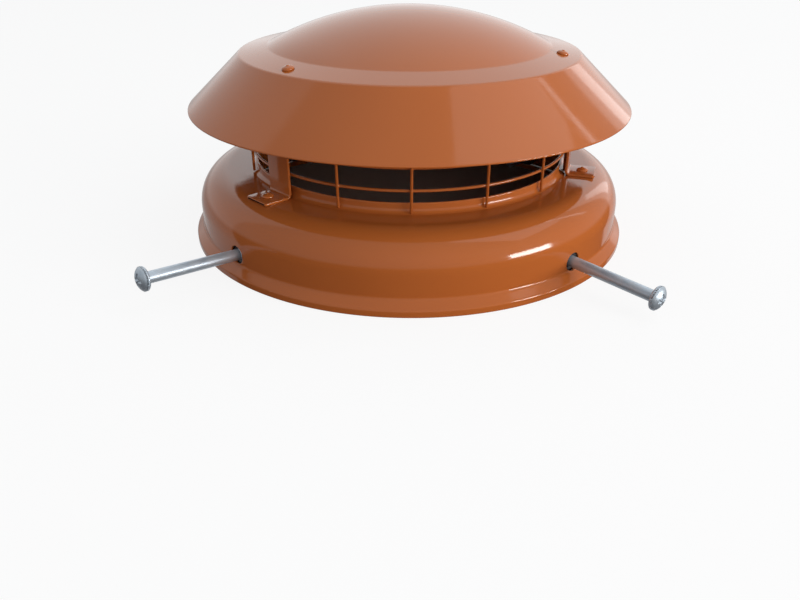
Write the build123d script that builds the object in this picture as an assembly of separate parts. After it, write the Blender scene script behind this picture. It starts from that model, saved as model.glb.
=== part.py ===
# Bolt-on rain cowl for a round chimney pot, in millimetres.
# Origin: on the flue's axis, where the pot's top edge meets the underside of the base's shelf.
# +Z is up the flue. Azimuth 0 is the front (-Y) and grows towards +X (the right-hand side).

from build123d import *
import os
from math import atan2, cos, degrees, radians, sin, sqrt

# Sheet, strip and wire
SHEET = 1.2             # spun sheet of the base and the hood
STRIP = 1.5             # strip of the brackets
WIRE = 1.6              # wire of the mesh guard

# Base: collar, shelf, shoulder, skirt and flared rim (outside measures)
COLLAR_R = 95.3         # outside radius of the collar round the flue opening
COLLAR_RISE = 5.8       # collar above the shelf
COLLAR_BEND = 3.0       # radius in the corner between collar and shelf
SHELF_WIDTH = 15.6      # flat shelf between the collar and the shoulder
SHOULDER_R = 19.5       # rounded shoulder between shelf and skirt
SKIRT_DEPTH = 39.4      # from the pot's seat down to the rim's lowest edge
FLARE = 4.6             # the rim stands out this far from the skirt
FLARE_TOP = 8.4         # height above the rim's edge where the skirt starts to flare
FLARE_BEND = 3.0        # radius in the hollow of the flare
LIP = 3.8               # height of the upright lip under the flare
LIP_BEND = 2.0          # radius over the lip

# Hood: dome, ledge and conical brim (outside measures)
HOOD_LIFT = 66.7        # from the shelf's top up to the crease between ledge and brim
DOME_RISE = 20.0        # height of the dome above its foot
DOME_BEND = 5.0         # radius in the hollow between dome and ledge
DOME_CLEAR = 0.9        # ledge left between the brackets' upper feet and the dome's foot
LEDGE_RISE = 3.3        # the ledge rises this much from the crease to the dome
CREASE_OUT = 1.6        # the crease lies this far outside the brackets' inside faces
CREASE_BEND = 3.0       # radius over the crease
BRIM_WIDTH = 31.7       # from the crease out to the brim's edge
BRIM_DROP = 29.5        # the brim falls this much from the crease
BRIM_EDGE = 0.4         # rounding of the sheet's cut edge

# Mesh guard: rings inside, upright wires outside, welded where they cross
RING_COUNT = 5
LOWEST_RING = 12.8      # the lowest ring's middle above the shelf; the uprights' cut ends stand below it
UPRIGHT_COUNT = 15
UPRIGHT_STEP = 24.3     # degrees; the strip's two ends meet closer together at the back
UPRIGHT_AZIMUTH = 0.4   # degrees; where the front wire stands
WELD_SINK = 0.4         # the welded wires are pressed this far into each other
GUARD_GAP = 0.1         # between the guard and the collar and its bend

# Brackets: a foot on the shelf, an upright, and a foot under the hood's ledge
BRACKET_AZIMUTH = {"front_left": -45.9, "right": 74.1, "back": 194.1}
BRACKET_WIDTH = 18.0
BRACKET_BEND = 1.5      # inside radius of the folds
BRACKET_CORNER = 1.5    # rounding of the strip's cut corners
BRACKET_GAP = 0.2       # between the guard's wires and the upright
LEDGE_GAP = 0.2         # between the top foot and the curved underside of the ledge
LOWER_FOOT = 17.4       # the lower foot reaches this far out from the upright's inside face
UPPER_FOOT = 14.2       # the upper foot reaches this far in from the upright's inside face
GUARD_HEADROOM = 0.3    # between the guard's top and the fold of the upper foot

# Blind rivets
RIVET_R = 1.6
RIVET_HEAD_R = 3.4
RIVET_HEAD_RISE = 1.7
RIVET_STEM_R = 0.8      # broken-off stem standing in the middle of the head
RIVET_STEM_RISE = 0.5
RIVET_TAIL_R = 2.4      # bulb formed on the blind side
RIVET_TAIL = 3.0
RIVET_HOLE_GAP = 0.05   # between the rivet's shank and its hole
RIVET_SET_GAP = 0.05    # between an upper rivet's bulb and the flat foot under the curved ledge
LOWER_RIVET_OUT = 9.6   # from the upright's inside face out to the lower rivet
# From the upright's inside face in to the upper rivet, and degrees from the bracket's middle round to it
UPPER_RIVET_IN = {"front_left": 5.4, "right": 8.6, "back": 7.0}
UPPER_RIVET_TURN = {"front_left": 3.6, "right": -2.6, "back": 0.0}

# Clamping screws and their nuts
BOLT_R = 3.175          # quarter-inch screws
BOLT_LENGTH = 76.2      # under the head
BOLT_POINT = 0.8        # chamfer at the tip
BOLT_HEAD_R = 6.5
BOLT_HEAD_EDGE = 2.2    # height of the pan head's side
BOLT_HEAD_RISE = 4.8    # full height of the head
BOLT_HEAD_UNDERCUT = 0.6  # bevel round the head's underside
RECESS_SPAN = 7.0       # cross recess, tip to tip
RECESS_WIDTH = 1.4
RECESS_DEPTH = 2.0
BOLT_HOLE_GAP = 2.0     # between the screw and its hole in the skirt, for screws that lean
NUT_FLATS = 11.1        # across flats
NUT_THICK = 5.5
NUT_RUNNING_GAP = 0.05  # between the screw and the nut's bore
NUT_SEAT_GAP = 0.03     # between the nut's corners and the skirt
BOLT_AZIMUTH = {"front_left": -46.5, "front_right": 42.6, "back_right": 133.5, "back_left": 223.0}
# Height of each screw above the rim's edge, where it crosses the skirt
BOLT_ABOVE_RIM = {"front_left": 13.8, "front_right": 13.2, "back_right": 13.5, "back_left": 13.5}
# Length between the skirt and the underside of the head
BOLT_STAND_OUT = {"front_left": 53.0, "front_right": 49.8, "back_right": 49.0, "back_left": 50.0}
# Degrees by which each screw leans upwards towards its head
BOLT_LEAN_ANGLE = {"front_left": 4.3, "front_right": -2.0, "back_right": 1.0, "back_left": -1.0}

# Levels that follow from the sizes above
SHELF_TOP = SHEET
RIM_Z = -SKIRT_DEPTH
CREASE_Z = SHELF_TOP + HOOD_LIFT

# Radii that follow, from the collar outwards: guard, brackets, base and hood
RING_R = COLLAR_R + GUARD_GAP + WIRE / 2
UPRIGHT_R = RING_R + WIRE - WELD_SINK
BRACKET_R = UPRIGHT_R + WIRE / 2 + BRACKET_GAP
LOWER_RIVET_R = BRACKET_R + LOWER_RIVET_OUT
RIVET_HOLE_R = RIVET_R + RIVET_HOLE_GAP
SKIRT_R = COLLAR_R + SHELF_WIDTH + SHOULDER_R
RIM_R = SKIRT_R + FLARE
BOLT_HOLE_R = BOLT_R + BOLT_HOLE_GAP
NUT_CORNER_R = NUT_FLATS / 2 / cos(radians(30))
DOME_R = BRACKET_R - UPPER_FOOT - DOME_CLEAR
CREASE_R = BRACKET_R + CREASE_OUT
BRIM_R = CREASE_R + BRIM_WIDTH
LEDGE_SLOPE = atan2(LEDGE_RISE, CREASE_R - DOME_R)


def ledge_z(r, below=0.0):
    """Height of the hood's ledge at radius r, measured square to it and this far below its top."""
    return CREASE_Z + LEDGE_RISE * (CREASE_R - r) / (CREASE_R - DOME_R) - below / cos(LEDGE_SLOPE)


def around(azimuth):
    """Turns what is drawn along +X to an azimuth."""
    return Rot(0, 0, azimuth - 90)


def sheet_section(path, thickness):
    """Section of a sheet whose outer face follows the path, with the metal on the path's right."""
    return Plane.XZ * make_face(offset(path, amount=thickness, side=Side.RIGHT))


def base():
    """One spun piece. The clearance holes and the rivet holes are drilled afterwards."""
    path = FilletPolyline(
        (COLLAR_R, SHELF_TOP + COLLAR_RISE),
        (COLLAR_R, SHELF_TOP),
        (SKIRT_R, SHELF_TOP),
        (SKIRT_R, RIM_Z + FLARE_TOP),
        (RIM_R, RIM_Z + LIP),
        (RIM_R, RIM_Z),
        radius=[COLLAR_BEND, SHOULDER_R, FLARE_BEND, LIP_BEND],
    )
    shell = revolve(sheet_section(path, SHEET), axis=Axis.Z)
    for name in BOLT_AZIMUTH:
        shell -= bolt_place(name) * Rot(0, 90, 0) * Cylinder(BOLT_HOLE_R, 4 * FLARE)
    for name in BRACKET_AZIMUTH:
        shell -= lower_rivet_place(name) * rivet_drill()
    return shell


def hood():
    """One spun piece: dome, ledge and brim, with three rivet holes in the ledge."""
    dome_foot = ledge_z(DOME_R)
    sphere_r = (DOME_R**2 + DOME_RISE**2) / (2 * DOME_RISE)
    half_way = dome_foot + DOME_RISE - sphere_r + sqrt(sphere_r**2 - DOME_R**2 / 4)
    dome = ThreePointArc((0, dome_foot + DOME_RISE), (DOME_R / 2, half_way), (DOME_R, dome_foot))
    ledge = Line((DOME_R, dome_foot), (CREASE_R, CREASE_Z))
    brim = Line((CREASE_R, CREASE_Z), (BRIM_R, CREASE_Z - BRIM_DROP))
    path = Wire([dome.edge(), ledge.edge(), brim.edge()])
    for corner, bend in (((DOME_R, dome_foot), DOME_BEND), ((CREASE_R, CREASE_Z), CREASE_BEND)):
        path = path.fillet_2d(bend, [path.vertices().sort_by_distance((*corner, 0))[0]])
    shell = revolve(sheet_section(path, SHEET), axis=Axis.Z)
    shell = fillet(shell.edges().group_by(Axis.Z)[0], BRIM_EDGE)
    for name in BRACKET_AZIMUTH:
        shell -= upper_rivet_place(name) * rivet_drill()
    return shell


def mesh_guard():
    """Welded mesh rolled into a ring. Its uprights stand on the bend between the collar and the shelf."""
    foot_underside = ledge_z(BRACKET_R, SHEET + LEDGE_GAP + STRIP)
    top = foot_underside - BRACKET_BEND - GUARD_HEADROOM
    into_bend = COLLAR_R + COLLAR_BEND - (UPRIGHT_R - WIRE / 2)
    bottom = SHELF_TOP + COLLAR_BEND - sqrt(COLLAR_BEND**2 - into_bend**2) + GUARD_GAP
    lowest_ring = SHELF_TOP + LOWEST_RING
    ring_pitch = (top - WIRE / 2 - lowest_ring) / (RING_COUNT - 1)
    rings = [Pos(0, 0, lowest_ring + ring_pitch * i) * Torus(RING_R, WIRE / 2) for i in range(RING_COUNT)]
    upright = Pos(UPRIGHT_R, 0, (top + bottom) / 2) * Cylinder(WIRE / 2, top - bottom)
    first = UPRIGHT_AZIMUTH - UPRIGHT_STEP * (UPRIGHT_COUNT - 1) / 2
    uprights = [around(first + UPRIGHT_STEP * i) * upright for i in range(UPRIGHT_COUNT)]
    return rings[0].fuse(*rings[1:], *uprights)


def bracket(name):
    """A strip folded to a Z: the lower foot stands on the shelf, the upper one lies under the ledge."""
    outside = BRACKET_R + STRIP
    foot_top = SHELF_TOP + STRIP
    path = FilletPolyline(
        (BRACKET_R - UPPER_FOOT, ledge_z(BRACKET_R - UPPER_FOOT, SHEET + LEDGE_GAP)),
        (outside, ledge_z(outside, SHEET + LEDGE_GAP)),
        (outside, foot_top),
        (BRACKET_R + LOWER_FOOT, foot_top),
        radius=[BRACKET_BEND + STRIP, BRACKET_BEND],
    )
    strip = extrude(sheet_section(path, STRIP), amount=BRACKET_WIDTH / 2, both=True)
    plan = Pos(BRACKET_R + (LOWER_FOOT - UPPER_FOOT) / 2, 0) * RectangleRounded(
        LOWER_FOOT + UPPER_FOOT, BRACKET_WIDTH, BRACKET_CORNER
    )
    strip &= extrude(plan, amount=CREASE_Z + DOME_RISE)
    strip = around(BRACKET_AZIMUTH[name]) * strip
    strip -= lower_rivet_place(name) * rivet_drill()
    strip -= upper_rivet_place(name) * rivet_drill()
    return strip


def lower_rivet_place(name):
    """Where a rivet's head sits on a bracket's lower foot."""
    return around(BRACKET_AZIMUTH[name]) * Pos(LOWER_RIVET_R, 0, SHELF_TOP + STRIP)


def upper_rivet_place(name):
    """Where a rivet's head sits on the hood's ledge, square to its slope."""
    r = BRACKET_R - UPPER_RIVET_IN[name]
    azimuth = BRACKET_AZIMUTH[name] + UPPER_RIVET_TURN[name]
    return around(azimuth) * Pos(r, 0, ledge_z(r)) * Rot(0, degrees(LEDGE_SLOPE), 0)


def rivet_drill():
    """Cuts a rivet's hole through both sheets under its head."""
    return Cylinder(RIVET_HOLE_R, 4 * (SHEET + STRIP))


def rivet(grip):
    """Blind rivet with its seat at z = 0: domed head, stem end, shank through the grip, bulb below."""
    head = make_face(
        Polyline((RIVET_HEAD_R, 0), (0, 0), (0, RIVET_HEAD_RISE))
        + ThreePointArc(
            (0, RIVET_HEAD_RISE),
            (RIVET_HEAD_R * sin(radians(45)), RIVET_HEAD_RISE * sin(radians(52))),
            (RIVET_HEAD_R, 0),
        )
    )
    body = revolve(Plane.XZ * head, axis=Axis.Z)
    stem_height = RIVET_HEAD_RISE + RIVET_STEM_RISE
    body += Pos(0, 0, stem_height / 2) * Cylinder(RIVET_STEM_R, stem_height)
    body += Pos(0, 0, -grip / 2) * Cylinder(RIVET_R, grip)
    bulb = Pos(0, 0, -grip - RIVET_TAIL / 2) * Cylinder(RIVET_TAIL_R, RIVET_TAIL)
    body += fillet(bulb.edges().group_by(Axis.Z)[0], RIVET_TAIL_R / 2)
    return body


def bolt():
    """Machine screw with its head's underside at z = 0 and its point down the -Z axis."""
    shank = Pos(0, 0, -BOLT_LENGTH / 2) * Cylinder(BOLT_R, BOLT_LENGTH)
    shank = chamfer(shank.edges().group_by(Axis.Z)[0], BOLT_POINT)
    crown = ThreePointArc(
        (0, BOLT_HEAD_RISE),
        (BOLT_HEAD_R * 0.6, BOLT_HEAD_EDGE + (BOLT_HEAD_RISE - BOLT_HEAD_EDGE) * 0.72),
        (BOLT_HEAD_R, BOLT_HEAD_EDGE),
    )
    outline = Polyline(
        (BOLT_HEAD_R, BOLT_HEAD_EDGE),
        (BOLT_HEAD_R, BOLT_HEAD_UNDERCUT),
        (BOLT_HEAD_R - BOLT_HEAD_UNDERCUT, 0),
        (0, 0),
        (0, BOLT_HEAD_RISE),
    )
    head = revolve(Plane.XZ * make_face(crown + outline), axis=Axis.Z)
    for turn in (0, 90):
        arm = Box(RECESS_SPAN, RECESS_WIDTH, 2 * RECESS_DEPTH)
        head -= Pos(0, 0, BOLT_HEAD_RISE) * Rot(0, 0, turn) * arm
    return shank + head


def nut(lean):
    """Hexagon nut for a screw drawn along -Z from the skirt's outer face, set back to clear the skirt."""
    curve_in = NUT_CORNER_R**2 / (2 * (SKIRT_R - SHEET))
    set_back = SHEET + curve_in + NUT_CORNER_R * sin(radians(abs(lean))) + NUT_SEAT_GAP
    prism = extrude(RegularPolygon(NUT_CORNER_R, 6), amount=-NUT_THICK)
    prism -= Pos(0, 0, -NUT_THICK / 2) * Cylinder(BOLT_R + NUT_RUNNING_GAP, NUT_THICK)
    return Pos(0, 0, -set_back) * prism


def bolt_place(name):
    """Where a screw crosses the skirt's outer face, with +X pointing out."""
    return around(BOLT_AZIMUTH[name]) * Pos(SKIRT_R, 0, RIM_Z + BOLT_ABOVE_RIM[name])


pieces = {"base": base(), "hood": hood(), "mesh_guard": mesh_guard()}
upper_grip = SHEET + LEDGE_GAP + STRIP + RIVET_SET_GAP
for name in BRACKET_AZIMUTH:
    pieces[f"bracket_{name}"] = bracket(name)
    pieces[f"foot_rivet_{name}"] = lower_rivet_place(name) * rivet(STRIP + SHEET)
    pieces[f"hood_rivet_{name}"] = upper_rivet_place(name) * rivet(upper_grip)
for name, stand_out in BOLT_STAND_OUT.items():
    lean = BOLT_LEAN_ANGLE[name]
    axis = bolt_place(name) * Rot(0, 90 - lean, 0)
    pieces[f"bolt_{name}"] = axis * Pos(0, 0, stand_out) * bolt()
    pieces[f"nut_{name}"] = axis * nut(lean)

os.makedirs("parts", exist_ok=True)
for name, piece in pieces.items():
    export_step(piece, f"parts/{name}.step")
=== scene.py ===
from math import atan2, ceil, cos, pi, radians, sin, sqrt, tan

import bpy
import numpy as np
from mathutils import Matrix, Vector


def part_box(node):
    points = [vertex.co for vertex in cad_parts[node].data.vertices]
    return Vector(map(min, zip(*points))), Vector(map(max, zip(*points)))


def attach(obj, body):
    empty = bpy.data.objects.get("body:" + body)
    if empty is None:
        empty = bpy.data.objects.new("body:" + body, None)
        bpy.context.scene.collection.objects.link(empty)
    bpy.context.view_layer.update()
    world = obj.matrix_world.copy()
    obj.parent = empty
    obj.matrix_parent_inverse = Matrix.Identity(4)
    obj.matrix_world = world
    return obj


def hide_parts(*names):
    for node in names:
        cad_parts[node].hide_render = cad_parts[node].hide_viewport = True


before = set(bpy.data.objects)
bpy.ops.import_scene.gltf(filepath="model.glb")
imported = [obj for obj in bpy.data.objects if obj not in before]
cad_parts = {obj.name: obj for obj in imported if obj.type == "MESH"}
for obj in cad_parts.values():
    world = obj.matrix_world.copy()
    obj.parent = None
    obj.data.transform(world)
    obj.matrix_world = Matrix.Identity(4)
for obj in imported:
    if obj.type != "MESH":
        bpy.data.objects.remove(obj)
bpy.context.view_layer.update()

# The base: a disc of sheet steel spun into a collar, a flat shelf, a rounded shoulder, a straight
# skirt and a flared rim. Its four screw holes are drilled afterwards, and it is painted all over.
MM = 0.001
SHEET = 1.2 * MM
base_low, base_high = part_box("base")
rim_r = base_high[0]
rim_z = base_low[2]
collar_top = base_high[2]
FLARE = 4.6 * MM
FLARE_TOP = 8.4 * MM
LIP = 3.8 * MM
SHELF_TOP = SHEET
COLLAR_R = 95.3 * MM
skirt_r = rim_r - FLARE
COLLAR_BEND, SHOULDER_BEND, FLARE_BEND, LIP_BEND = 3.0 * MM, 19.5 * MM, 3.0 * MM, 2.0 * MM
EDGE_TRIM = SHEET / 2
ROUND_STEPS = 360
FINE_RUN = 0.3 * MM
SCREW_AZIMUTH = {"front_left": -46.5, "front_right": 42.6, "back_right": 133.5, "back_left": 223.0}
SCREW_ABOVE_RIM = {"front_left": 13.8 * MM, "front_right": 13.2 * MM,
                   "back_right": 13.5 * MM, "back_left": 13.5 * MM}
HOLE_R = 5.175 * MM
HOLE_EDGE = 0.3 * MM
HOLE_RING_SHARES = (0.3, 0.55, 0.75, 0.9, 1.0)
WINDOW_Z = rim_z + 13.5 * MM
WINDOW_COLUMNS = 4
WINDOW_ROWS = 16
WINDOW_PITCH = 0.425 * MM


def rounded_path(corners, bends, arc_step=radians(3), run_step=4 * MM):
    """Points and left-hand normals of a polyline whose corners are rounded. Each arc touches both of its
    runs at bend * tan(turn / 2) from the corner. Runs get a row close to either end, so that the shading
    of a flat stays flat up to its bend."""
    corners = np.asarray(corners, float)
    runs = np.diff(corners, axis=0)
    headings = np.arctan2(runs[:, 1], runs[:, 0])
    turns = (np.diff(headings) + pi) % (2 * pi) - pi
    trims = np.concatenate([[0.0], np.abs(np.tan(turns / 2)) * bends, [0.0]])
    points, normals = [], []
    for i, heading in enumerate(headings):
        ahead = np.array([cos(heading), sin(heading)])
        left = np.array([-ahead[1], ahead[0]])
        start = corners[i] + ahead * trims[i]
        end = corners[i + 1] - ahead * trims[i + 1]
        length = np.linalg.norm(end - start)
        near = min(FINE_RUN, length / 4)
        along = np.linspace(near, length - near, max(2, ceil(length / run_step)))
        along = np.concatenate([[0.0], along, [length]])
        points.append(start + along[:, None] * ahead)
        normals.append(np.tile(left, (len(along), 1)))
        if i < len(turns):
            count = max(3, ceil(abs(turns[i]) / arc_step))
            angles = heading + turns[i] * np.linspace(0, 1, count + 1)[1:-1]
            lefts = np.stack([-np.sin(angles), np.cos(angles)], axis=1)
            side = np.sign(turns[i]) * bends[i]
            points.append(end + left * side - lefts * side)
            normals.append(lefts)
    return np.concatenate(points), np.concatenate(normals)


def cut_edge(end, normal, thickness, steps=8):
    """Half-round cut edge of a sheet: a semicircle about the middle of the metal, swung from the outer face
    round the end of the path to the inner face."""
    middle = end - normal * thickness / 2
    ahead = np.array([normal[1], -normal[0]])
    swing = np.linspace(pi / 2, -pi / 2, steps + 2)[1:-1, None]
    return middle + thickness / 2 * (normal * np.sin(swing) + ahead * np.cos(swing))


def grid_faces(rows, columns, close_rows=False, close_columns=True):
    """Quads of a grid of points numbered row by row, as an array of four corners each."""
    row = np.arange(rows if close_rows else rows - 1)[:, None]
    column = np.arange(columns if close_columns else columns - 1)[None, :]
    next_row = (row + 1) % rows
    next_column = (column + 1) % columns
    corners = [row * columns + column, next_row * columns + column,
               next_row * columns + next_column, row * columns + next_column]
    return np.stack(corners, axis=-1).reshape(-1, 4)


def full_turn(steps):
    """Evenly spaced angles once round, as many as there are steps."""
    return np.arange(steps) * 2 * pi / steps


def turned(outline, angles):
    """Surface of revolution: every (radius, height) of the outline carried round the given angles, where
    angle 0 is the +X side. One row for each point of the outline."""
    radius = outline[:, 0][:, None]
    height = np.broadcast_to(outline[:, 1][:, None], (len(outline), len(angles)))
    return np.stack([radius * np.cos(angles), radius * np.sin(angles), height], axis=-1).reshape(-1, 3)


def linear(colour):
    """Linear red, green, blue and alpha of an sRGB hex colour."""
    channels = np.array([int(colour[i:i + 2], 16) for i in (1, 3, 5)]) / 255
    channels = np.where(channels <= 0.04045, channels / 12.92, ((channels + 0.055) / 1.055) ** 2.4)
    return (*channels.tolist(), 1.0)


def add_node(material, kind, links=(), **settings):
    """Adds a node to a material. Settings are its properties, or its sockets' values where the name is that
    of a socket with spaces as underscores. Links are (socket, node or socket that feeds it)."""
    tree = material.node_tree
    node = tree.nodes.new(kind)
    sockets = {}
    for socket in node.inputs:
        sockets.setdefault(socket.name.replace(" ", "_"), socket)
    for name, value in settings.items():
        if name in sockets:
            sockets[name].default_value = value
        else:
            setattr(node, name, value)
    for name, source in links:
        target = node.inputs[name]
        tree.links.new(source.outputs[0] if hasattr(source, "outputs") else source, target)
    return node


def new_piece(name, points, faces, material, body="cowl", stands_for=()):
    """Puts points and faces into a smooth mesh object with the material, parents it to the empty of the body
    it rides on, and hides the nodes it stands for."""
    mesh = bpy.data.meshes.new(name)
    mesh.from_pydata(points.tolist(), [], faces.tolist() if hasattr(faces, "tolist") else faces)
    mesh.validate()
    mesh.shade_smooth()
    mesh.materials.append(material)
    piece = bpy.data.objects.new(name, mesh)
    bpy.context.scene.collection.objects.link(piece)
    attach(piece, body)
    if stands_for:
        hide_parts(*stands_for)
    return piece


def base_outline():
    """Closed section of the spun sheet, outer face first, and the number of its points that are the outer
    face. Between the top and bottom of the screw holes' windows both faces have evenly spaced rows."""
    corners = [
        (COLLAR_R, collar_top - EDGE_TRIM),
        (COLLAR_R, SHELF_TOP),
        (skirt_r, SHELF_TOP),
        (skirt_r, rim_z + FLARE_TOP),
        (rim_r, rim_z + LIP),
        (rim_r, rim_z + EDGE_TRIM),
    ]
    outer, normals = rounded_path(corners, [COLLAR_BEND, SHOULDER_BEND, FLARE_BEND, LIP_BEND])
    inner = outer - normals * SHEET
    levels = WINDOW_Z + WINDOW_PITCH * np.arange(WINDOW_ROWS, -WINDOW_ROWS - 1, -1)
    faces = []
    for face in (outer, inner):
        wall = face[:, 0] > skirt_r - SHEET - FINE_RUN
        above = face[~(wall & (face[:, 1] < levels[0] + WINDOW_PITCH / 4))]
        below = face[wall & (face[:, 1] < levels[-1] - WINDOW_PITCH / 4)]
        radii = np.interp(-levels, -face[wall][:, 1], face[wall][:, 0])
        faces.append((above, np.stack([radii, levels], axis=1), below))
    outer_face = np.concatenate(faces[0])
    inner_face = np.concatenate(faces[1])[::-1]
    rim_edge = cut_edge(outer[-1], normals[-1], SHEET)
    collar_edge = cut_edge(outer[0], normals[0], SHEET)[::-1]
    collar_edge[:, 1] = 2 * outer[0][1] - collar_edge[:, 1]
    outline = np.concatenate([outer_face, rim_edge, inner_face, collar_edge])
    outer_row = len(faces[0][0])
    inner_row = len(outer_face) + len(rim_edge) + len(faces[1][2])
    return outline, outer_row, inner_row


def window_loop(first_row, last_row, middle_column):
    """Grid rows and columns round a window, clockwise seen from outside, starting at a top corner."""
    left = middle_column - WINDOW_COLUMNS
    right = middle_column + WINDOW_COLUMNS
    step = 1 if last_row > first_row else -1
    rows = np.arange(first_row, last_row, step)
    columns = np.arange(left, right)
    row_loop = np.concatenate([np.full(len(columns), first_row), rows,
                               np.full(len(columns), last_row), rows[::-1] + step])
    column_loop = np.concatenate([columns, np.full(len(rows), right),
                                  columns[::-1] + 1, np.full(len(rows), left)])
    return row_loop, column_loop


def drilled_hole(outline, outer_row, inner_row, angle, height, first_new):
    """A round hole with a softened edge through both faces of the skirt, square to it at an angle from +X.
    Each face's window is filled by rings that run from the window's border to a circle."""
    step = 2 * pi / ROUND_STEPS
    middle_column = round(angle / step)
    outer_rows = slice(outer_row, outer_row + 2 * WINDOW_ROWS + 1)
    inner_rows = slice(inner_row, inner_row + 2 * WINDOW_ROWS + 1)
    rows_out, columns = window_loop(outer_row, outer_row + 2 * WINDOW_ROWS, middle_column)
    rows_in, _ = window_loop(inner_row + 2 * WINDOW_ROWS, inner_row, middle_column)
    rings = []
    for face, rows in ((outline[outer_rows], rows_out), (outline[inner_rows][::-1], rows_in)):
        z = outline[rows, 1] - height
        x = outline[rows, 0] * np.sin(columns * step - angle)
        turn = np.arctan2(z, x)
        mouth = HOLE_R + HOLE_EDGE
        shares = np.array(HOLE_RING_SHARES)[:, None]
        ring_x = x + (mouth * np.cos(turn) - x) * shares
        ring_z = z + (mouth * np.sin(turn) - z) * shares
        ring_r = np.interp(-(ring_z + height), -face[:, 1], face[:, 0])
        rings.append((ring_x, ring_z, np.sqrt(ring_r**2 - ring_x**2), turn))
    bevel = np.linspace(0, pi / 2, 5)[1:, None]
    lips = []
    for side, (ring_x, ring_z, depth, turn) in zip((1, -1), rings):
        lip_r = HOLE_R + HOLE_EDGE * (1 - np.sin(bevel))
        lips.append((lip_r * np.cos(turn), lip_r * np.sin(turn),
                     depth[-1] - side * HOLE_EDGE * (1 - np.cos(bevel))))
    lateral, above, out = [np.concatenate([rings[0][i], lips[0][i], lips[1][i][::-1], rings[1][i][::-1]])
                           for i in range(3)]
    points = np.stack([out * np.cos(angle) - lateral * np.sin(angle),
                       out * np.sin(angle) + lateral * np.cos(angle), above + height], axis=-1)
    numbers = first_new + np.arange(out.size).reshape(out.shape)
    columns = columns % ROUND_STEPS
    numbers = np.concatenate([[rows_out * ROUND_STEPS + columns], numbers,
                              [rows_in * ROUND_STEPS + columns]])
    here, there = numbers[:-1], numbers[1:]
    quads = np.stack([here, np.roll(here, -1, axis=1), np.roll(there, -1, axis=1), there], axis=-1)
    return points.reshape(-1, 3), quads.reshape(-1, 4)


def terracotta_gloss():
    """Stove-enamelled gloss paint over steel, terracotta coloured. It gives a deep even colour, mirror-like
    reflections that wobble a little with the spun sheet, and fine orange peel that softens them."""
    material = bpy.data.materials.new("terracotta_gloss_enamel")
    material.use_nodes = True
    tree = material.node_tree
    tree.nodes.clear()
    place = add_node(material, "ShaderNodeTexCoord").outputs["Object"]
    # Slow change of colour where the paint lies thicker: 60 mm wide
    clouds = add_node(material, "ShaderNodeTexNoise", [("Vector", place)], Scale=1 / 0.06, Detail=2.0)
    tint = add_node(material, "ShaderNodeMix", [("Factor", clouds)], data_type="RGBA")
    tint.inputs["A"].default_value = linear("#AA5B28")
    tint.inputs["B"].default_value = linear("#B0602C")
    # Orange peel: waves 2.5 mm across and about 4 microns high, over slow waves of the spun sheet, 45 mm
    peel = add_node(material, "ShaderNodeTexNoise", [("Vector", place)], Scale=1 / 0.0025, Detail=1.0)
    sheet = add_node(material, "ShaderNodeTexNoise", [("Vector", place)], Scale=1 / 0.045, Detail=0.0)
    slow = add_node(material, "ShaderNodeBump", [("Height", sheet)], Strength=1.0, Distance=0.00012)
    fine = add_node(material, "ShaderNodeBump", [("Height", peel), ("Normal", slow)],
                    Strength=1.0, Distance=0.000006)
    # Dust in the paint dulls it in patches a few millimetres wide
    dust = add_node(material, "ShaderNodeTexNoise", [("Vector", place)], Scale=1 / 0.006, Detail=3.0)
    dulling = add_node(material, "ShaderNodeMapRange", [("Value", dust)],
                       From_Min=0.35, From_Max=0.75, To_Min=0.07, To_Max=0.13)
    paint = add_node(material, "ShaderNodeBsdfPrincipled",
                     [("Base Color", tint.outputs["Result"]), ("Roughness", dulling), ("Normal", fine)],
                     IOR=1.5)
    add_node(material, "ShaderNodeOutputMaterial", [("Surface", paint)])
    return material


enamel = terracotta_gloss()
outline, outer_row, inner_row = base_outline()
shell_points = turned(outline, full_turn(ROUND_STEPS))
shell_faces = grid_faces(len(outline), ROUND_STEPS, close_rows=True)[:, ::-1]
face_rows = np.repeat(np.arange(len(outline)), ROUND_STEPS)
face_columns = np.tile(np.arange(ROUND_STEPS), len(outline))
in_rows = (face_rows >= outer_row) & (face_rows < outer_row + 2 * WINDOW_ROWS)
in_rows |= (face_rows >= inner_row) & (face_rows < inner_row + 2 * WINDOW_ROWS)
kept = np.ones(len(shell_faces), bool)
holes = []
for name, azimuth in SCREW_AZIMUTH.items():
    angle = radians(azimuth - 90)
    from_hole = face_columns - round(angle * ROUND_STEPS / (2 * pi)) + WINDOW_COLUMNS
    kept &= ~(in_rows & (from_hole % ROUND_STEPS < 2 * WINDOW_COLUMNS))
    hole_points, hole_faces = drilled_hole(outline, outer_row, inner_row, angle,
                                           rim_z + SCREW_ABOVE_RIM[name], len(shell_points))
    shell_points = np.concatenate([shell_points, hole_points])
    holes.append(hole_faces)
shell_faces = np.concatenate([shell_faces[kept]] + holes)
new_piece("base_spun_shell", shell_points, shell_faces, enamel, stands_for=["base"])

# The hood: one spun disc with a shallow dome, a narrow sloping ledge and a conical brim with a cut
# edge. It is painted the same and hangs from the brackets by three rivets through its ledge.
hood_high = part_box("hood")[1]
BRIM_DROP = 29.5 * MM
DOME_RISE = 20.0 * MM
LEDGE_RISE = 3.3 * MM
CREASE_R, DOME_R = 100.0 * MM, 83.3 * MM
CREASE_BEND, DOME_BEND = 3.0 * MM, 5.0 * MM
DOME_ROWS = 40
brim_r = hood_high[0]
crease_z = hood_high[2] - DOME_RISE - LEDGE_RISE
dome_foot = crease_z + LEDGE_RISE
ledge_slope = atan2(LEDGE_RISE, CREASE_R - DOME_R)


def ledge_z(r, below=0.0):
    """Height of the ledge at radius r, this far below its top, measured square to it."""
    return crease_z + LEDGE_RISE * (CREASE_R - r) / (CREASE_R - DOME_R) - below / cos(ledge_slope)


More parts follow.
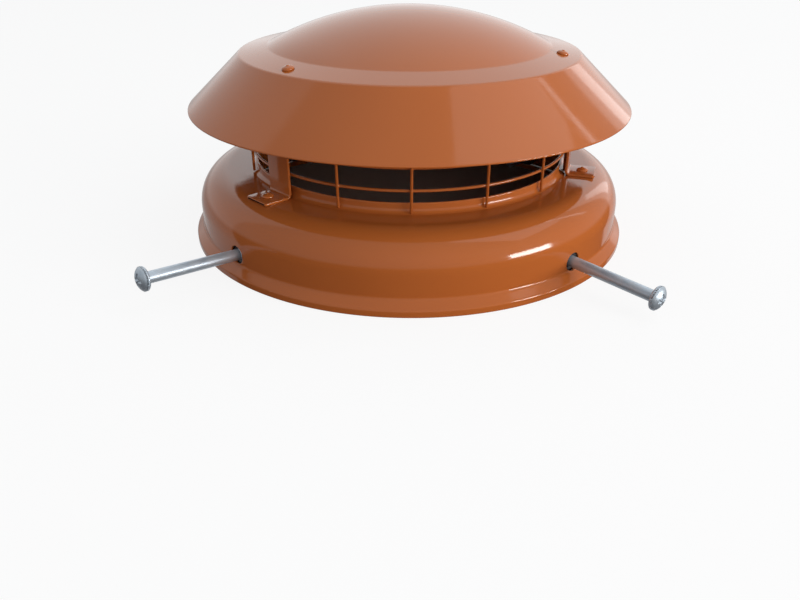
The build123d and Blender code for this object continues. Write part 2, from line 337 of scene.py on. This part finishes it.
def hood_outline():
    """Section of the hood from the apex over the dome, ledge and brim, round the cut edge and back under
    them to the axis. The dome is an arc of a sphere, (foot radius squared + rise squared) / (2 * rise)."""
    sphere_r = (DOME_R**2 + DOME_RISE**2) / (2 * DOME_RISE)
    dome_edge = atan2(DOME_R, sphere_r - DOME_RISE)
    slope_turn = dome_edge - ledge_slope
    trim = DOME_BEND * tan(slope_turn / 2)
    swing = np.linspace(0, dome_edge - trim / sphere_r, DOME_ROWS)
    dome_normals = np.stack([np.sin(swing), np.cos(swing)], axis=1)
    dome = dome_normals * sphere_r + [0, dome_foot + DOME_RISE - sphere_r]
    brim_run = np.array([brim_r - CREASE_R, -BRIM_DROP])
    brim_run = brim_run / np.linalg.norm(brim_run)
    before_foot = np.array([DOME_R, dome_foot]) - 2 * trim * np.array([cos(dome_edge), -sin(dome_edge)])
    corners = [before_foot, (DOME_R, dome_foot), (CREASE_R, crease_z),
               np.array([brim_r, crease_z - BRIM_DROP]) - EDGE_TRIM * brim_run]
    outer, normals = rounded_path(corners, [DOME_BEND, CREASE_BEND])
    beyond = np.argmax(outer[:, 0] > dome[-1, 0] + FINE_RUN / 2)
    outer = np.concatenate([dome, outer[beyond:]])
    normals = np.concatenate([dome_normals, normals[beyond:]])
    return np.concatenate([outer, cut_edge(outer[-1], normals[-1], SHEET), (outer - normals * SHEET)[::-1]])


def close_poles(points, faces, columns, rows):
    """Joins the first and last rows of a turned surface, which lie on its axis, to one point each."""
    faces = np.where(faces < columns, 0, faces)
    last = (rows - 1) * columns
    faces = np.where(faces >= last, last, faces)
    kept = []
    for face in faces.tolist():
        corners = list(dict.fromkeys(face))
        if len(corners) > 2:
            kept.append(corners)
    return points, kept


outline = hood_outline()
hood_points = turned(outline, full_turn(ROUND_STEPS))
hood_faces = grid_faces(len(outline), ROUND_STEPS)[:, ::-1]
hood_points, hood_faces = close_poles(hood_points, hood_faces, ROUND_STEPS, len(outline))
new_piece("hood_spun_shell", hood_points, hood_faces, enamel, stands_for=["hood"])

# The mesh guard: rings inside and upright wires outside, spot-welded where they cross, rolled to a
# ring, stood round the collar and painted with the rest, so that paint fillets its welds.
guard_low, guard_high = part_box("mesh_guard")
WIRE_R = 0.8 * MM
RING_COUNT = 5
RING_R = 96.2 * MM
LOWEST_RING = 12.8 * MM
UPRIGHT_R = 97.4 * MM
UPRIGHT_COUNT = 15
UPRIGHT_STEP = radians(24.3)
UPRIGHT_FRONT = radians(0.4)
# The upright left of the front one was welded a little nearer to it, and leans
FRONT_LEFT = 6
FRONT_LEFT_TOP, FRONT_LEFT_FOOT = radians(0.5), radians(1.0)
WIRE_SIDES = 16
WELD_LENGTH, WELD_WIDTH, WELD_DEPTH = 1.35 * MM, 1.2 * MM, 1.05 * MM


def round_wire(centres, across, along, radius):
    """Tube: circles of the given radius (one for each centre) in the plane of two unit vectors."""
    turn = full_turn(WIRE_SIDES)
    radius = np.broadcast_to(radius, len(centres))[:, None, None]
    circle = np.cos(turn)[None, :, None] * across[:, None, :]
    circle = circle + np.sin(turn)[None, :, None] * along[:, None, :]
    return (centres[:, None, :] + radius * circle).reshape(-1, 3)


def joined(parts):
    """One numbering for the points and quads of several surfaces."""
    points, faces, first = [], [], 0
    for part_points, part_faces in parts:
        points.append(part_points)
        faces.append(np.asarray(part_faces) + first)
        first += len(part_points)
    return np.concatenate(points), np.concatenate(faces)


def towards(azimuth):
    """Unit vector from the axis towards an azimuth counted from the front."""
    return np.array([sin(azimuth), -cos(azimuth), 0.0])


up = np.array([0.0, 0.0, 1.0])
ring_turn = full_turn(ROUND_STEPS)
ring_out = np.stack([np.cos(ring_turn), np.sin(ring_turn), 0 * ring_turn], axis=1)
ring_levels = np.linspace(SHELF_TOP + LOWEST_RING, guard_high[2] - WIRE_R, RING_COUNT)
guard_parts = []
for level in ring_levels:
    centres = RING_R * ring_out + level * up
    tube = round_wire(centres, ring_out, np.tile(up, (ROUND_STEPS, 1)), WIRE_R)
    guard_parts.append((tube, grid_faces(ROUND_STEPS, WIRE_SIDES, close_rows=True)))
upright_azimuths = UPRIGHT_FRONT + UPRIGHT_STEP * (np.arange(UPRIGHT_COUNT) - (UPRIGHT_COUNT - 1) / 2)
tops, feet = upright_azimuths.copy(), upright_azimuths.copy()
tops[FRONT_LEFT] += FRONT_LEFT_TOP
feet[FRONT_LEFT] += FRONT_LEFT_FOOT
for azimuth, top, foot in zip(upright_azimuths, tops, feet):
    out = towards(azimuth)
    side = np.cross(up, out)
    # Cut ends: the radius shrinks to a point over a third of the wire's radius
    end = np.array([0.0, 0.02, 0.1, 0.3, 1.0])
    rounding = np.sqrt(1 - (1 - end) ** 2)
    low = guard_low[2] + end * WIRE_R / 3
    high = guard_high[2] - end[::-1] * WIRE_R / 3
    heights = np.concatenate([low, high])
    radii = WIRE_R * np.concatenate([rounding, rounding[::-1]])
    line = UPRIGHT_R * (towards(top) - towards(foot))
    share = (heights - heights[0]) / (heights[-1] - heights[0])
    centres = UPRIGHT_R * towards(foot) + share[:, None] * line + heights[:, None] * up
    tube = round_wire(centres, np.tile(out, (len(heights), 1)), np.tile(side, (len(heights), 1)), radii)
    guard_parts.append((tube, grid_faces(len(heights), WIRE_SIDES)))
    # A flattened bead of paint and weld round each crossing, an ellipsoid between the two wires
    polar = np.linspace(0, pi, 9)
    for level in ring_levels:
        share = (level - heights[0]) / (heights[-1] - heights[0])
        crossing = towards(foot + (top - foot) * share)
        centre = (RING_R + UPRIGHT_R) / 2 * crossing + level * up
        centres = centre + np.cos(polar)[:, None] * WELD_DEPTH * crossing
        across = np.tile(side * WELD_WIDTH, (len(polar), 1))
        along = np.tile(up * min(WELD_LENGTH, guard_high[2] - level), (len(polar), 1))
        guard_parts.append((round_wire(centres, across, along, np.sin(polar)),
                            grid_faces(len(polar), WIRE_SIDES)))
guard_points, guard_faces = joined(guard_parts)
new_piece("guard_welded_wires", guard_points, guard_faces, enamel, stands_for=["mesh_guard"])

# The brackets: three strips of steel folded to a Z. The lower foot is riveted to the shelf and the
# upper one to the underside of the hood's ledge. Their corners are cut round and their edges are dulled.
STRIP = 1.5 * MM
BRACKET_WIDTH = 18.0 * MM
BRACKET_AZIMUTHS = {"front_left": -45.9, "right": 74.1, "back": 194.1}
BRACKET_R = 98.4 * MM
LOWER_FOOT, UPPER_FOOT = 17.4 * MM, 14.2 * MM
FOLD = 1.5 * MM
STRIP_CORNER = 1.5 * MM
STRIP_EDGE = 0.35 * MM
LEDGE_GAP = 0.2 * MM


def strip_surface():
    """Strip drawn along +X: a rectangle with rounded edges carried along the folded path. Near either end
    it narrows by a quarter circle for the round corners, and thins by a smaller one for the dulled edge."""
    outside = BRACKET_R + STRIP
    corners = [
        (BRACKET_R - UPPER_FOOT, ledge_z(BRACKET_R - UPPER_FOOT, SHEET + LEDGE_GAP)),
        (outside, ledge_z(outside, SHEET + LEDGE_GAP)),
        (outside, SHELF_TOP + STRIP),
        (BRACKET_R + LOWER_FOOT, SHELF_TOP + STRIP),
    ]
    path, normals = rounded_path(corners, [FOLD + STRIP, FOLD])
    steps = np.linalg.norm(np.diff(path, axis=0), axis=1)
    along = np.concatenate([[0.0], np.cumsum(steps)])
    length = along[-1]
    ends = np.array([0.0, 0.01, 0.04, 0.1, 0.2, 0.35, 0.5, 0.7, 0.9, 1.1, 1.3, 1.5]) * MM
    rows = np.unique(np.round(np.concatenate([ends, along, length - ends]), 9))
    path = np.stack([np.interp(rows, along, path[:, i]) for i in (0, 1)], axis=1)
    normals = np.stack([np.interp(rows, along, normals[:, i]) for i in (0, 1)], axis=1)
    normals /= np.linalg.norm(normals, axis=1, keepdims=True)
    from_end = np.minimum(rows, length - rows)
    corner = np.clip(1 - from_end / STRIP_CORNER, 0, 1)
    narrowing = STRIP_CORNER * (1 - np.sqrt(1 - corner**2))
    edge = np.clip(1 - from_end / STRIP_EDGE, 0, 1)
    thinning = STRIP_EDGE * (1 - np.sqrt(1 - edge**2))
    quarter_turn = np.linspace(0, pi / 2, 5)
    turn = np.concatenate([quarter_turn + k * pi / 2 for k in range(4)])
    corner_of = np.repeat([[1, 1], [-1, 1], [-1, -1], [1, -1]], 5, axis=0)
    wide = corner_of[:, 0] * (BRACKET_WIDTH / 2 - STRIP_EDGE)
    thick = corner_of[:, 1] * (STRIP / 2 - STRIP_EDGE)
    y = wide + STRIP_EDGE * np.cos(turn)
    n = thick + STRIP_EDGE * np.sin(turn)
    y = y[None, :] - np.sign(y)[None, :] * narrowing[:, None]
    n = n[None, :] * (1 - thinning / (STRIP / 2))[:, None]
    middle = path - normals * STRIP / 2
    radial = middle[:, :1] + normals[:, :1] * n
    height = middle[:, 1:] + normals[:, 1:] * n
    points = np.stack([radial, y, height], axis=-1).reshape(-1, 3)
    return points, grid_faces(len(rows), len(turn)), len(rows), len(turn)


def swung(points, azimuth):
    """Turns what is drawn along +X to an azimuth in degrees."""
    return points @ np.array(Matrix.Rotation(radians(azimuth - 90), 3, "Z")).T


strip_points, strip_faces, strip_rows, strip_columns = strip_surface()
strip_caps = [list(range(strip_columns))[::-1],
              list(range((strip_rows - 1) * strip_columns, strip_rows * strip_columns))]
for name, azimuth in BRACKET_AZIMUTHS.items():
    new_piece(f"bracket_strip_{name}", swung(strip_points, azimuth), strip_faces.tolist() + strip_caps,
              enamel, stands_for=[f"bracket_{name}"])

# The blind rivets: a domed head with the end of its broken-off stem in the middle, softened by the
# paint that covers both, and a bulb on the blind side.
RIVET_R, RIVET_HEAD_R, RIVET_HEAD_RISE = 1.6 * MM, 3.4 * MM, 1.7 * MM
STEM_R, STEM_RISE = 0.8 * MM, 0.5 * MM
TAIL_R, TAIL = 2.4 * MM, 3.0 * MM
LOWER_RIVET_OUT = 9.6 * MM
LOWER_RIVET_R = BRACKET_R + LOWER_RIVET_OUT
# From the bracket's upright in to its upper rivet, and the degrees from its middle round to it
UPPER_RIVET_IN = {"front_left": 5.4 * MM, "right": 8.6 * MM, "back": 7.0 * MM}
UPPER_RIVET_TURN = {"front_left": 3.6, "right": -2.6, "back": 0.0}
RIVET_STEPS = 48


def rivet_outline(grip):
    """Section of a set rivet from the stem's end down to the bulb's end: a stem that runs into the dome in
    a hollow curve, a dome that flattens towards a dulled rim, the shank through its grip and the bulb."""
    stem = np.linspace(0, pi / 2, 6)
    stem_r = STEM_R * (1 - 0.15 * np.cos(stem)) * np.sin(stem)
    stem_z = RIVET_HEAD_RISE + STEM_RISE - 0.25 * MM * (1 - np.cos(stem))
    dome_turn = np.linspace(0, 1, 14)
    dome_r = STEM_R + (RIVET_HEAD_R - STEM_R) * dome_turn
    dome_z = RIVET_HEAD_RISE * np.sqrt(np.clip(1 - (dome_turn * 0.97) ** 2.2, 0, 1))
    dome_z += (stem_z[-1] - RIVET_HEAD_RISE) * np.exp(-dome_turn * 12)
    below = np.array([[RIVET_HEAD_R - 0.05 * MM, 0.0], [RIVET_R, 0.0], [RIVET_R, -grip], [TAIL_R, -grip]])
    bulb = np.linspace(0, pi / 2, 7)
    bulb_r = TAIL_R / 2 * (1 + np.cos(bulb))
    bulb_z = -grip - TAIL + TAIL_R / 2 * (1 - np.sin(bulb))
    outline = np.concatenate([np.stack([stem_r, stem_z], axis=1), np.stack([dome_r, dome_z], axis=1)[1:],
                              below, np.stack([bulb_r, bulb_z], axis=1), [[0.0, -grip - TAIL]]])
    outline[0, 0] = 0.0
    return outline


RIVET_SET_GAP = 0.05 * MM
LOWER_GRIP = STRIP + SHEET
UPPER_GRIP = SHEET + LEDGE_GAP + STRIP + RIVET_SET_GAP
for name, azimuth in BRACKET_AZIMUTHS.items():
    upper_r = BRACKET_R - UPPER_RIVET_IN[name]
    upper_azimuth = azimuth + UPPER_RIVET_TURN[name]
    for place, radius, level, slope, grip, round_to in (
            ("foot", LOWER_RIVET_R, SHELF_TOP + STRIP, 0.0, LOWER_GRIP, azimuth),
            ("hood", upper_r, ledge_z(upper_r), ledge_slope, UPPER_GRIP, upper_azimuth)):
        outline = rivet_outline(grip)
        points = turned(outline, full_turn(RIVET_STEPS))
        faces = grid_faces(len(outline), RIVET_STEPS)[:, ::-1]
        points, faces = close_poles(points, faces, RIVET_STEPS, len(outline))
        points = points @ np.array(Matrix.Rotation(slope, 3, "Y")).T + [radius, 0, level]
        new_piece(f"{place}_rivet_set_{name}", swung(points, round_to), faces, enamel,
                  stands_for=[f"{place}_rivet_{name}"])

# The clamping screws: quarter-inch machine screws 76.2 mm (3 in) long, cold-headed with a pan head and a
# cross recess and zinc plated. The shank is plain as far as the skirt and threaded from there to its
# point. Each leans as it was left in its hole.
SCREW_R, SCREW_LENGTH = 3.175 * MM, 76.2 * MM
THREAD_LENGTH, THREAD_PITCH, THREAD_DEPTH = 23.0 * MM, 1.27 * MM, 0.78 * MM
SCREW_POINT = 0.8 * MM
SCREW_HEAD_R, SCREW_HEAD_EDGE, SCREW_HEAD_RISE = 6.5 * MM, 2.2 * MM, 4.8 * MM
HEAD_UNDERCUT = 0.6 * MM
HEAD_CORNER = 1.0 * MM
NECK = 0.8 * MM
RECESS_SPAN, RECESS_WIDTH, RECESS_DEPTH, RECESS_SLOPE = 7.0 * MM, 1.4 * MM, 2.0 * MM, 0.25 * MM
STAND_OUT = {"front_left": 53.0 * MM, "front_right": 49.8 * MM,
             "back_right": 49.0 * MM, "back_left": 50.0 * MM}
LEAN = {"front_left": 4.3, "front_right": -2.0, "back_right": 1.0, "back_left": -1.0}
THREAD_SIDES = 32
HEAD_CELLS = 48


def threaded_shank():
    """Shank along -Z from the head. Its radius follows a 60-degree ridge that climbs one pitch a turn:
    the distance along the axis plus the turn, folded into one pitch, with flats on crest and root. The
    ridge fades in over the last pitch before the plain shank, and under the chamfer at the point."""
    neck = np.linspace(0, pi / 2, 6)
    plain = np.array([[SCREW_R + NECK * (1 - sin(a)), -NECK * (1 - cos(a))] for a in neck])
    plain_end = -(SCREW_LENGTH - THREAD_LENGTH)
    rows = np.linspace(plain_end, -SCREW_LENGTH, int(THREAD_LENGTH / THREAD_PITCH * 12) + 1)
    turn = full_turn(THREAD_SIDES)
    phase = (rows[:, None] / THREAD_PITCH + turn[None, :] / (2 * pi)) % 1.0
    ridge = np.clip((np.abs(phase - 0.5) * 2 - 0.12) / 0.66, 0, 1)
    fade = np.clip((plain_end - rows) / THREAD_PITCH, 0, 1)[:, None]
    radius = SCREW_R - THREAD_DEPTH * ridge * fade
    tip = SCREW_R - SCREW_POINT + (rows[:, None] + SCREW_LENGTH)
    radius = np.minimum(radius, tip)
    plain_r = np.repeat(plain[:, :1], THREAD_SIDES, axis=1)
    radius = np.concatenate([np.zeros((1, THREAD_SIDES)), plain_r, radius, np.zeros((1, THREAD_SIDES))])
    height = np.concatenate([[0.0], plain[:, 1], rows, [-SCREW_LENGTH]])
    height = np.repeat(height[:, None], THREAD_SIDES, axis=1)
    points = np.stack([radius * np.cos(turn), radius * np.sin(turn), height], axis=-1).reshape(-1, 3)
    faces = grid_faces(len(height), THREAD_SIDES)[:, ::-1]
    return close_poles(points, faces, THREAD_SIDES, len(height))


def mushroom_head():
    """Head with its underside at z = 0. Its crown is a square grid drawn onto the disc, at
    (u * sqrt(1 - v*v / 2), v * sqrt(1 - u*u / 2)), so that grid lines follow the walls of the cross recess.
    Its rim and underside are rings carried on from the grid's border."""
    wall = RECESS_WIDTH / 2 / SCREW_HEAD_R
    slope = RECESS_SLOPE / SCREW_HEAD_R
    inner = np.linspace(0, wall - slope / 2, 4)
    outer = np.linspace(wall + slope / 2, 1, HEAD_CELLS // 2)
    half = np.concatenate([inner, outer])
    u = np.concatenate([-half[:0:-1], half])
    grid_u, grid_v = np.meshgrid(u, u, indexing="ij")
    x = grid_u * np.sqrt(1 - grid_v**2 / 2) * SCREW_HEAD_R
    y = grid_v * np.sqrt(1 - grid_u**2 / 2) * SCREW_HEAD_R
    r = np.hypot(x, y)
    cap = SCREW_HEAD_RISE - SCREW_HEAD_EDGE
    cap_r = (SCREW_HEAD_R**2 + cap**2) / (2 * cap)
    crown = SCREW_HEAD_RISE - cap_r + np.sqrt(cap_r**2 - r**2)
    crown -= HEAD_CORNER * np.clip((r - SCREW_HEAD_R + HEAD_CORNER) / HEAD_CORNER, 0, 1) ** 2 / 2
    reach = np.clip(1 - r / (RECESS_SPAN / 2), 0, 1)
    in_arm = np.minimum(np.abs(grid_u), np.abs(grid_v)) <= wall
    crown = crown - in_arm * RECESS_DEPTH * np.clip(reach * 2.2, 0, 1) ** 0.8
    size = len(u)
    points = np.stack([x, y, crown], axis=-1).reshape(-1, 3)
    number = np.arange(size * size).reshape(size, size)
    crown_faces = np.stack([number[:-1, :-1], number[1:, :-1], number[1:, 1:], number[:-1, 1:]],
                           axis=-1).reshape(-1, 4)
    border = np.concatenate([number[:-1, 0], number[-1, :-1], number[:0:-1, -1], number[0, :0:-1]])
    directions = points[border, :2] / SCREW_HEAD_R
    edge = SCREW_HEAD_R - HEAD_UNDERCUT
    rings = [(SCREW_HEAD_R, SCREW_HEAD_EDGE * 0.9), (SCREW_HEAD_R, HEAD_UNDERCUT * 1.3),
             (SCREW_HEAD_R * 0.99, HEAD_UNDERCUT * 0.8), (edge * 1.02, 0.05 * MM), (edge * 0.97, 0.0),
             (edge * 0.5, 0.0)]
    numbers = [border]
    for radius, level in rings:
        ring = np.concatenate([directions * radius, np.full((len(border), 1), level)], axis=1)
        numbers.append(len(points) + np.arange(len(border)))
        points = np.concatenate([points, ring])
    rim_faces = []
    for here, there in zip(numbers[:-1], numbers[1:]):
        rim_faces.append(np.stack([here, there, np.roll(there, -1), np.roll(here, -1)], axis=-1))
    return points, crown_faces.tolist() + np.concatenate(rim_faces).tolist() + [numbers[-1][::-1].tolist()]


def bright_zinc(name, pale, grey, bare):
    """Zinc plating with a blue passivated film: a clean bluish silver whose fine crystals spread its
    reflections to a soft sheen, with duller, greyer patches where it was handled. The film scatters
    part of the light; bare is the share of the surface that still shines as metal."""
    material = bpy.data.materials.new(name)
    material.use_nodes = True
    material.node_tree.nodes.clear()
    place = add_node(material, "ShaderNodeTexCoord").outputs["Object"]
    # Handling marks: patches 5 mm wide, with finer specks 1.2 mm wide in them
    stains = add_node(material, "ShaderNodeTexNoise", [("Vector", place)], Scale=1 / 0.005, Detail=4.0)
    tint = add_node(material, "ShaderNodeMix", [("Factor", stains)], data_type="RGBA")
    tint.inputs["A"].default_value = linear(pale)
    tint.inputs["B"].default_value = linear(grey)
    dulling = add_node(material, "ShaderNodeMapRange", [("Value", stains)],
                       From_Min=0.3, From_Max=0.7, To_Min=0.36, To_Max=0.5)
    # Crystals and rolling marks in the plating, drawn 0.8 mm wide and 3 microns high
    grain = add_node(material, "ShaderNodeTexNoise", [("Vector", place)], Scale=1 / 0.0008, Detail=2.0)
    bump = add_node(material, "ShaderNodeBump", [("Height", grain)], Strength=1.0, Distance=0.000003)
    metal = add_node(material, "ShaderNodeBsdfPrincipled",
                     [("Base Color", tint.outputs["Result"]), ("Roughness", dulling), ("Normal", bump)],
                     Metallic=bare)
    add_node(material, "ShaderNodeOutputMaterial", [("Surface", metal)])
    return material


def along_screw(points, name, stand_out=0.0):
    """Places what is drawn along +Z, with the skirt's outer face at z = 0, on a screw's axis."""
    points = points + [0, 0, stand_out]
    points = points @ np.array(Matrix.Rotation(radians(90 - LEAN[name]), 3, "Y")).T
    return swung(points + [skirt_r, 0, rim_z + SCREW_ABOVE_RIM[name]], SCREW_AZIMUTH[name])


zinc = bright_zinc("blue_passivated_zinc", "#B6C9DA", "#CBD1D6", bare=0.72)
shank_points, shank_faces = threaded_shank()
head_points, head_faces = mushroom_head()
screw_points = np.concatenate([shank_points, head_points])
screw_faces = shank_faces + [[corner + len(shank_points) for corner in face] for face in head_faces]
for name, stand_out in STAND_OUT.items():
    new_piece(f"clamp_screw_{name}", along_screw(screw_points, name, stand_out), screw_faces, zinc,
              body=f"clamp_bolt_{name}", stands_for=[f"bolt_{name}"])

# The nuts: hexagon nuts tacked behind the holes, their corners chamfered at 30 degrees on both faces.
# Their zinc is given a darker, duller grey than the screws', as painted shade inside the holes.
NUT_FLATS, NUT_THICK = 11.1 * MM, 5.5 * MM
NUT_RUNNING_GAP = 0.05 * MM
NUT_BORE_R = SCREW_R + NUT_RUNNING_GAP
NUT_BORE_BEVEL = 0.3 * MM
NUT_FACE_R = NUT_FLATS / 2 * 0.95
NUT_CORNER_R = NUT_FLATS / sqrt(3)
NUT_SEAT_GAP = 0.03 * MM
NUT_SIDES = 96


def hexagon_nut():
    """Nut from z = 0 down. Each row is a circle or the hexagon, whose radius is half the flats over the
    cosine of the angle from the nearest flat, whichever is less, so that cones cut its corners."""
    turn = full_turn(NUT_SIDES)
    hexagon = NUT_FLATS / 2 / np.cos((turn + pi / 6) % (pi / 3) - pi / 6)
    chamfer = (NUT_CORNER_R - NUT_FACE_R) * tan(radians(30))
    rows = []
    for limit, level in ((NUT_BORE_R, NUT_BORE_BEVEL), (NUT_BORE_R + NUT_BORE_BEVEL, 0.0), (NUT_FACE_R, 0.0)):
        rows.append((np.full(NUT_SIDES, limit), level))
    for share in np.linspace(0, 1, 7)[1:]:
        limit = NUT_FACE_R + (NUT_CORNER_R - NUT_FACE_R) * share
        rows.append((np.minimum(hexagon, limit), chamfer * share))
    rows += [(radius, NUT_THICK - level) for radius, level in rows[::-1]]
    radius = np.array([row[0] for row in rows])
    height = -np.array([np.full(NUT_SIDES, row[1]) for row in rows])
    points = np.stack([radius * np.cos(turn), radius * np.sin(turn), height], axis=-1).reshape(-1, 3)
    return points, grid_faces(len(rows), NUT_SIDES, close_rows=True)[:, ::-1]


# The nuts can't be seen from the front. Their dark grey is painted shade, so that the holes stay dark round
# the screws
shade_darkened_zinc = bright_zinc("dull_barrel_zinc", "#5E6064", "#4C4C4E", bare=0.5)
nut_points, nut_faces = hexagon_nut()
for name, lean in LEAN.items():
    set_back = SHEET + NUT_CORNER_R**2 / (2 * (skirt_r - SHEET))
    set_back += NUT_CORNER_R * sin(radians(abs(lean))) + NUT_SEAT_GAP
    new_piece(f"hexagon_nut_{name}", along_screw(nut_points, name, -set_back), nut_faces, shade_darkened_zinc,
              stands_for=[f"nut_{name}"])

# The studio: a pale floor at the rim's level, a dark sheet inside the rim as painted shade for its hollow,
# lamps, a white background and the camera. Mirrored rays see a room with a darker front, a pale back and
# windows.
FLOOR_SIZE = 12.0
MAT_R, MAT_LIFT, MAT_SIDES = rim_r - 1.5 * MM, 0.5 * MM, 96
FLOOR_WHITE = 0.86
ROOM_RIGHT_EDGE, ROOM_LEFT_EDGE = 132.0, -102.0
LENS, SENSOR = 33.33, 36.0
CAMERA_PLACE = (-0.00462, -0.45712, 0.14805)
CAMERA_YAW, CAMERA_DOWN, CAMERA_ROLL = 0.00135, 0.50195, 0.00249


def kinds_of_rays(holder):
    """Sockets that are 1 for rays from the camera, and for mirrored or transmitted rays, and else 0."""
    rays = add_node(holder, "ShaderNodeLightPath")
    mirrored = add_node(holder, "ShaderNodeMath",
                        [(0, rays.outputs["Is Glossy Ray"]), (1, rays.outputs["Is Transmission Ray"])],
                        operation="ADD", use_clamp=True)
    return rays.outputs["Is Camera Ray"], mirrored


def pale_floor():
    """Matt white studio floor, lifted towards white where it is seen directly. It keeps the object's soft
    shadow, and bounces less light than it shows."""
    material = bpy.data.materials.new("matt_pale_floor")
    material.use_nodes = True
    material.node_tree.nodes.clear()
    bounce = add_node(material, "ShaderNodeBsdfDiffuse", Color=linear("#A08A84"))
    matt = add_node(material, "ShaderNodeBsdfDiffuse", Color=linear("#FAFAFA"))
    white = add_node(material, "ShaderNodeEmission", Strength=1.0)
    shown = add_node(material, "ShaderNodeMixShader", [(1, matt), (2, white)], Fac=FLOOR_WHITE)
    from_camera, mirrored = kinds_of_rays(material)
    seen = add_node(material, "ShaderNodeMath", [(0, mirrored), (1, from_camera)],
                    operation="ADD", use_clamp=True)
    floor = add_node(material, "ShaderNodeMixShader", [(0, seen), (1, bounce), (2, shown)])
    add_node(material, "ShaderNodeOutputMaterial", [("Surface", floor)])
    return material


def hollow_shade_sheet():
    """Brownish grey sheet inside the rim, which isn't part of the cowl: painted shade that darkens its
    hollow.
    """
    material = bpy.data.materials.new("dark_felt_mat")
    material.use_nodes = True
    material.node_tree.nodes.clear()
    shade_bsdf = add_node(material, "ShaderNodeBsdfDiffuse", Color=linear("#7C746C"), Roughness=1.0)
    add_node(material, "ShaderNodeOutputMaterial", [("Surface", shade_bsdf)])
    return material


def stage_sheet(name, corners, material):
    """Flat piece of the studio, which isn't part of the object."""
    mesh = bpy.data.meshes.new(name)
    mesh.from_pydata(corners, [], [list(range(len(corners)))])
    mesh.materials.append(material)
    sheet = bpy.data.objects.new(name, mesh)
    bpy.context.scene.collection.objects.link(sheet)
    return sheet


half = FLOOR_SIZE / 2
floor = stage_sheet("studio_floor", [(-half, -half, rim_z), (half, -half, rim_z), (half, half, rim_z),
                                     (-half, half, rim_z)], pale_floor())
floor.visible_glossy = False
# A dark sheet inside the rim, painted shade for the cowl's hollow
mat_turn = full_turn(MAT_SIDES)
mat_corners = np.stack([MAT_R * np.cos(mat_turn), MAT_R * np.sin(mat_turn),
                        0 * mat_turn + rim_z + MAT_LIFT], axis=1)
stage_sheet("studio_mat", mat_corners.tolist(), hollow_shade_sheet())


def studio_lamp(name, azimuth, elevation, distance, size, radiance, colour="#FFFFFF", mirrored=True):
    """Rectangular area lamp that faces the object from an azimuth and elevation in degrees. Its power is
    4 * area * radiance, so that a mirror shows it at that radiance."""
    light = bpy.data.lights.new(name, "AREA")
    light.shape = "RECTANGLE"
    light.size, light.size_y = size
    light.energy = 4 * size[0] * size[1] * radiance
    light.color = linear(colour)[:3]
    lamp = bpy.data.objects.new(name, light)
    aim = cos(radians(elevation)) * towards(radians(azimuth)) + sin(radians(elevation)) * up
    lamp.location = aim * distance
    lamp.rotation_euler = Vector(aim).to_track_quat("Z", "Y").to_euler()
    lamp.visible_glossy = mirrored
    bpy.context.scene.collection.objects.link(lamp)


studio_lamp("low_window", 62, 5, 2.0, (0.85, 0.35), 16.5, "#FFFDFA")
studio_lamp("soft_key", 58, 24, 2.0, (1.4, 0.9), 1.8, "#FFF8F0", mirrored=False)
studio_lamp("front_fill", 8, 25, 2.0, (1.2, 1.0), 1.0, mirrored=False)
studio_lamp("right_skylight", 88, 57, 1.6, (1.0, 1.0), 0.6)
studio_lamp("window_strip", 113, 40, 1.6, (0.05, 1.0), 1.6)
studio_lamp("far_window", 137.3, 15, 1.6, (0.22, 0.7), 0.9)

world = bpy.data.worlds.new("studio_world")
bpy.context.scene.world = world
world.use_nodes = True
world.node_tree.nodes.clear()
plain = add_node(world, "ShaderNodeBackground", Color=(0.93, 0.96, 1.0, 1.0), Strength=0.55)
white = add_node(world, "ShaderNodeBackground", Color=(1.0, 1.0, 1.0, 1.0), Strength=1.0)
direction = add_node(world, "ShaderNodeTexCoord").outputs["Generated"]
heading = add_node(world, "ShaderNodeSeparateXYZ", [("Vector", direction)])
front = add_node(world, "ShaderNodeMapRange", [("Value", heading.outputs["Z"])],
                 From_Min=-0.1, From_Max=0.02, To_Min=0.05, To_Max=0.5)
behind = add_node(world, "ShaderNodeMapRange", [("Value", heading.outputs["Z"])],
                  From_Min=-0.1, From_Max=0.02, To_Min=0.6, To_Max=1.12)
left = add_node(world, "ShaderNodeMapRange", [("Value", heading.outputs["X"])],
                From_Min=-0.6, From_Max=-0.3, To_Min=0.7, To_Max=1.0)
behind = add_node(world, "ShaderNodeMath", [(0, behind), (1, left)], operation="MULTIPLY")
edges = []
for edge_azimuth in (ROOM_RIGHT_EDGE + 90, ROOM_LEFT_EDGE - 90):
    across = add_node(world, "ShaderNodeVectorMath", [(0, direction)], operation="DOT_PRODUCT")
    across.inputs[1].default_value = towards(radians(edge_azimuth))
    edges.append(add_node(world, "ShaderNodeMapRange", [("Value", across.outputs["Value"])],
                          From_Min=-0.015, From_Max=0.015))
rearward = add_node(world, "ShaderNodeMath", [(0, edges[0]), (1, edges[1])], operation="MULTIPLY")
level = add_node(world, "ShaderNodeMix", [("Factor", rearward), ("A", front), ("B", behind)])
room = add_node(world, "ShaderNodeBackground", [("Strength", level)], Color=(1.0, 1.0, 1.0, 1.0))
from_camera, mirrored = kinds_of_rays(world)
lit = add_node(world, "ShaderNodeMixShader", [(0, mirrored), (1, plain), (2, room)])
sky = add_node(world, "ShaderNodeMixShader", [(0, from_camera), (1, lit), (2, white)])
add_node(world, "ShaderNodeOutputWorld", [("Surface", sky)])

lens = bpy.data.cameras.new("photo_camera")
lens.lens = LENS
lens.sensor_width = SENSOR
lens.sensor_fit = "HORIZONTAL"
lens.dof.use_dof = False
camera = bpy.data.objects.new("photo_camera", lens)
turn = Matrix.Rotation(CAMERA_YAW, 4, "Z") @ Matrix.Rotation(pi / 2 - CAMERA_DOWN, 4, "X")
turn = turn @ Matrix.Rotation(CAMERA_ROLL, 4, "Z")
camera.matrix_world = Matrix.Translation(CAMERA_PLACE) @ turn
bpy.context.scene.collection.objects.link(camera)
bpy.context.scene.camera = camera
bpy.context.scene.view_settings.view_transform = "Standard"
